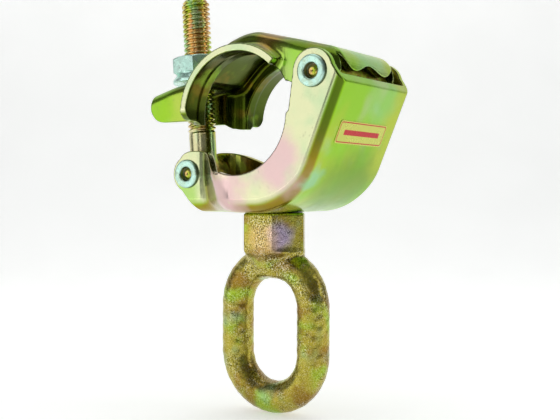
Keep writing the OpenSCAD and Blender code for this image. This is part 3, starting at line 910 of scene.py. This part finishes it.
class BuildNut(ClampPiece):
    """Hexagonal nut with a conical flange"""
    bl_idname = "clamp.build_nut"
    bl_label = "Flange Nut"

    def execute(self, context):
        m = sizes()
        points, faces, normals = skin(nut_field(m), (-12, -12, 0), (12, 12, m["nut_h"]), GRID * 0.6)
        points[:, 2] += NUT_SEAT
        upright = leaning(points)
        normals = leaning(normals) - leaning(np.zeros((1, 3)))
        piece("flange_nut_hex", upright, faces, MaterialShelf.get("nut_zinc", zinc_steel),
              "nut", ["flange_nut"], normals)
        return {"FINISHED"}


class BuildEye(ClampPiece):
    """Forged load eye with hexagonal neck, shank and peened head"""
    bl_idname = "clamp.build_eye"
    bl_label = "Load Eye"

    def execute(self, context):
        points, faces, normals = skin(eye_field(sizes()), EYE_LOW, EYE_HIGH, GRID)
        piece("forged_load_eye", points, faces, MaterialShelf.get("forged_chromate", forged_chromate),
              "eye", ["swivel_eye"], normals)
        return {"FINISHED"}


class BuildWasher(ClampPiece):
    """Thrust washer under the peened head"""
    bl_idname = "clamp.build_washer"
    bl_label = "Thrust Washer"

    def execute(self, context):
        points, faces = turned(ring_profile(7.1, 10.3, WASHER_LOW[2], WASHER_HIGH[2], 0.4))
        piece("thrust_washer_ring", points, faces, MaterialShelf.get("spacer_chromate", dull_chromate),
              "eye", ["thrust_washer"])
        return {"FINISHED"}


def label_film(name, f):
    """Thin film: plain ground, thin border and one plain stripe."""
    s = Shader(name)
    uv = s.node("ShaderNodeUVMap", uv_map="flat").outputs["UV"]
    u = s.math("ABSOLUTE", s.axis(uv, "X"), 0)
    v = s.math("ABSOLUTE", s.axis(uv, "Y"), 0)
    round_r = 1.8
    far_u = s.math("MAXIMUM", s.math("SUBTRACT", u, LABEL_W - round_r), 0)
    far_v = s.math("MAXIMUM", s.math("SUBTRACT", v, LABEL_H - round_r), 0)
    squares = s.math("ADD", s.math("MULTIPLY", far_u, far_u), s.math("MULTIPLY", far_v, far_v))
    edge = s.math("SUBTRACT", s.math("SQRT", squares, 0), round_r)
    line = s.math("MULTIPLY", s.band(edge, -0.95, -0.85), s.band(edge, -0.42, -0.52))
    stripe = s.math("MULTIPLY", s.band(v, 1.15, 1.0), s.band(u, 14.2, 14.0))
    colour = s.mix(s.math("MAXIMUM", line, stripe), f.label, f.stripe)
    return s.done(colour, s.band(s.noise(8, 2.0), 0.3, 0.7, 0.24, 0.32), metal=0.6)


class BuildLabel(ClampPiece):
    """Blank label on the back plate"""
    bl_idname = "clamp.build_label"
    bl_label = "Blank Label"

    def execute(self, context):
        w, h, r, t, up_plate = LABEL_W, LABEL_H, 1.2, 0.25, 14
        rim = []
        for cx, cy, first in ((w - r, h - r, 0), (-w + r, h - r, 90),
                              (-w + r, -h + r, 180), (w - r, -h + r, 270)):
            rim += arc(cx, cy, r, first, first + 90, 6)
        rings = [(1.0, 0.0), (1.0, t - 0.06), (0.994, t - 0.01), (0.97, t), (0.5, t)]
        flat = np.array([(a * k, b * (k if k > 0.9 else k * 0.6), c) for k, c in rings for a, b in rim])
        n = len(rim)
        faces = [(i * n + k, i * n + (k + 1) % n, (i + 1) * n + (k + 1) % n, (i + 1) * n + k)
                 for i in range(len(rings) - 1) for k in range(n)]
        faces += [tuple(range((len(rings) - 1) * n, len(rings) * n)), tuple(reversed(range(n)))]
        c, s = math.cos(BACK_LEAN), math.sin(BACK_LEAN)
        foot = (BEND_X + BACK_BEND * c + up_plate * s, BEND_Z - BACK_BEND * s + up_plate * c)
        u, v, out = flat[:, 0], flat[:, 1], flat[:, 2] + 0.01
        points = np.stack([foot[0] + v * s + out * c, u, foot[1] + v * c - out * s], 1)
        label = piece("blank_label_film", points, faces, MaterialShelf.get("label_film", label_film),
                      "clamp", ["blank_label"])
        layer = label.data.uv_layers.new(name="flat")
        for loop in label.data.loops:
            layer.data[loop.index].uv = (flat[loop.vertex_index, 0], flat[loop.vertex_index, 1])
        for polygon in label.data.polygons:
            polygon.use_smooth = False
        return {"FINISHED"}


def area_light(name, place, target, width, height, power):
    """A soft rectangular lamp, sizes in metres and power in watts, whose panel isn't seen itself."""
    light = bpy.data.lights.new(name, "AREA")
    light.shape, light.size, light.size_y = "RECTANGLE", width, height
    light.energy = power
    obj = bpy.data.objects.new(name, light)
    obj.location = place
    obj.rotation_euler = (Vector(target) - Vector(place)).to_track_quat("-Z", "Y").to_euler()
    obj.visible_camera = False
    bpy.context.scene.collection.objects.link(obj)


class BuildStage(ClampPiece):
    """Pale floor with a curved back, studio lights and camera"""
    bl_idname = "clamp.build_stage"
    bl_label = "Stage"

    def execute(self, context):
        scene = context.scene
        across = (math.cos(VIEW_TURN), math.sin(VIEW_TURN))
        ahead = (-math.sin(VIEW_TURN), math.cos(VIEW_TURN))
        floor_z = EYE_LOW[2] - 0.02
        front, bend_from, bend_r, half, height = -1500, 500, 400, 1800, 1800
        line = [(front, 0), (bend_from, 0)]
        line += [(bend_from + bend_r * math.sin(a), bend_r - bend_r * math.cos(a))
                 for a in np.linspace(0.1, math.pi / 2, 12)] + [(bend_from + bend_r, height)]
        points = [(ahead[0] * along + across[0] * side,
                   ahead[1] * along + across[1] * side, floor_z + up)
                  for along, up in line for side in (-half, half)]
        faces = [(2 * i, 2 * i + 1, 2 * i + 3, 2 * i + 2) for i in range(len(line) - 1)]
        mesh = bpy.data.meshes.new("pale_floor")
        mesh.from_pydata((np.array(points) * MM).tolist(), [], faces)
        mesh.shade_smooth()
        s = Shader("pale_floor")
        grey = s.mix(s.band(s.noise(60, 2.0), 0.3, 0.7), (0.90, 0.90, 0.89), (0.93, 0.93, 0.92))
        s.done(grey, 0.7, metal=0.0)
        s.bsdf.inputs["Emission Color"].default_value = (1, 1, 1, 1)
        s.bsdf.inputs["Emission Strength"].default_value = 0.42
        mesh.materials.append(s.material)
        floor = bpy.data.objects.new("pale_floor", mesh)
        scene.collection.objects.link(floor)

        world = bpy.data.worlds.new("studio")
        world.use_nodes = True
        world.node_tree.nodes["Background"].inputs["Color"].default_value = (0.80, 0.86, 0.84, 1)
        world.node_tree.nodes["Background"].inputs["Strength"].default_value = 0.20
        scene.world = world
        scene.view_settings.view_transform = "Standard"

        def spot(right, toward, up):
            """A place in metres, given as right of, toward and above the middle for the camera."""
            return (across[0] * right - ahead[0] * toward, across[1] * right - ahead[1] * toward, up)
        area_light("top_box", spot(0.0, -0.05, 0.75), (0, 0, 0), 0.8, 0.8, 2.5)
        area_light("left_box", spot(-0.75, 0.32, 0.12), (0, 0, -0.03), 0.62, 0.8, 1.5)
        area_light("right_box", spot(0.75, 0.1, 0.2), (0, 0, -0.03), 0.25, 0.7, 0.75)
        area_light("front_strip", spot(-0.30, 0.75, 0.10), (0, 0, -0.03), 0.12, 0.5, 0.22)

        camera = bpy.data.cameras.new("camera")
        camera.sensor_width = 36
        camera.lens = 60.13
        camera.clip_start, camera.clip_end = 0.01, 20
        obj = bpy.data.objects.new("camera", camera)
        level = math.cos(VIEW_TILT)
        look = Vector((ahead[0] * level, ahead[1] * level, -math.sin(VIEW_TILT)))
        obj.location = Vector((-ahead[0] * VIEW_AWAY + across[0] * VIEW_ASIDE,
                               -ahead[1] * VIEW_AWAY + across[1] * VIEW_ASIDE, VIEW_UP)) * MM
        obj.rotation_euler = look.to_track_quat("-Z", "Y").to_euler()
        scene.collection.objects.link(obj)
        scene.camera = obj
        return {"FINISHED"}


BUILD_ORDER = (BuildStage, BuildClampBody, BuildLid, BuildRivets, BuildSpacer, BuildBolt, BuildNut,
               BuildEye, BuildWasher, BuildLabel)


class ClampPanel(bpy.types.Panel):
    """Lists the clamp's pieces, sizes and finishes"""
    bl_idname = "VIEW3D_PT_clamp"
    bl_label = "Tube Suspension Clamp"
    bl_space_type = "VIEW_3D"
    bl_region_type = "UI"
    bl_category = "Clamp"

    def draw(self, context):
        for operator in BUILD_ORDER:
            self.layout.operator(operator.bl_idname)
        for group in (context.scene.clamp_sizes, context.scene.clamp_finishes):
            for key in group.__annotations__:
                self.layout.prop(group, key)


CLASSES = (ClampSizes, ClampFinishes, *BUILD_ORDER, ClampPanel)


def register():
    for cls in CLASSES:
        bpy.utils.register_class(cls)
    bpy.types.Scene.clamp_sizes = PointerProperty(type=ClampSizes)
    bpy.types.Scene.clamp_finishes = PointerProperty(type=ClampFinishes)


def unregister():
    del bpy.types.Scene.clamp_finishes
    del bpy.types.Scene.clamp_sizes
    for cls in reversed(CLASSES):
        bpy.utils.unregister_class(cls)


def main():
    register()
    for operator in BUILD_ORDER:
        group, name = operator.bl_idname.split(".")
        getattr(getattr(bpy.ops, group), name)()


if __name__ == "__main__":
    main()
